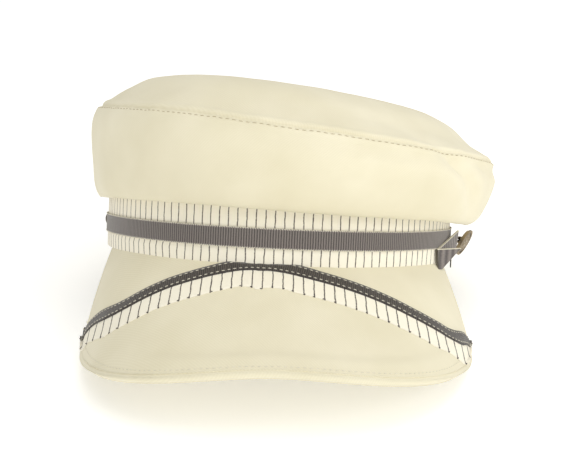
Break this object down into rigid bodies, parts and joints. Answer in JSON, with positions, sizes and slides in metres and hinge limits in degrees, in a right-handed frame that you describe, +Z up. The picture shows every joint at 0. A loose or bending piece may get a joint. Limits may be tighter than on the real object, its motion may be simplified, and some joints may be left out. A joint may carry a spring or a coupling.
{
  "type": "military peaked cap",
  "caption": "Soft peaked cap with a bloused cream crown, pinstriped band and peak insert, front ribbon with a side stud, and a hanging shank button.",
  "frame": {"origin": "middle of the cap's bounding box at the surface it stands on", "axes": "+Z up from the surface, -Y the way the peak points, +X the side with the shank button; the cap stands on the back of its band and the peak's two corners, so its band leans back"},
  "size_m": [0.2194, 0.2836, 0.1245],
  "materials": {
    "cream_twill": "fine diagonal weave, matte",
    "pinstripe_cloth": "woven, thin dark stripes",
    "ribbon_cloth": "ribbed grosgrain, soft sheen",
    "peak_tape_cloth": "ribbed tape with pale stitching",
    "lining_cloth": "smooth lining",
    "sweat_cloth": "matte woven tape",
    "buckram": "stiff open weave",
    "peak_board_plastic": "moulded sheet",
    "antique_brass": "antiqued, satin",
    "dark_brass": "dark antique",
    "sewing_thread": "twisted thread"
  },
  "bodies": {
    "cap": {"band_cloth": "pinstripe_cloth", "band_stiffener": "buckram", "sweatband": "sweat_cloth", "hat_ribbon": "ribbon_cloth", "ribbon_loop": "ribbon_cloth", "ribbon_tail": "ribbon_cloth", "stud_cap": "dark_brass", "stud_post": "dark_brass", "stud_washer": "dark_brass", "peak_board": "peak_board_plastic", "peak_rear_cover": "cream_twill", "peak_stripe_panel": "pinstripe_cloth", "peak_front_cover": "cream_twill", "peak_underside": "cream_twill", "peak_edge_binding": "cream_twill", "peak_tape": "peak_tape_cloth", "crown_side_front": "cream_twill", "crown_side_back": "cream_twill", "crown_tip": "cream_twill", "lining_side": "lining_cloth", "lining_tip": "lining_cloth"},
    "thread": {"button_thread": "sewing_thread"},
    "button": {"button_back": "antique_brass", "button_face": "antique_brass", "button_shank": "antique_brass"}
  },
  "joints": [
    {"name": "button_twist", "type": "hinge", "parent": "cap", "child": "thread", "pos_m": [0.089, 0.02199, 0.02811], "axis": [0.9989, -0.0111, -0.0449], "range_deg": [-8, 35]},
    {"name": "button_swing", "type": "hinge", "parent": "thread", "child": "button", "pos_m": [0.089, 0.02199, 0.02811], "axis": [-0.0311, 0.5567, -0.8301], "range_deg": [-6, 12]}
  ]
}
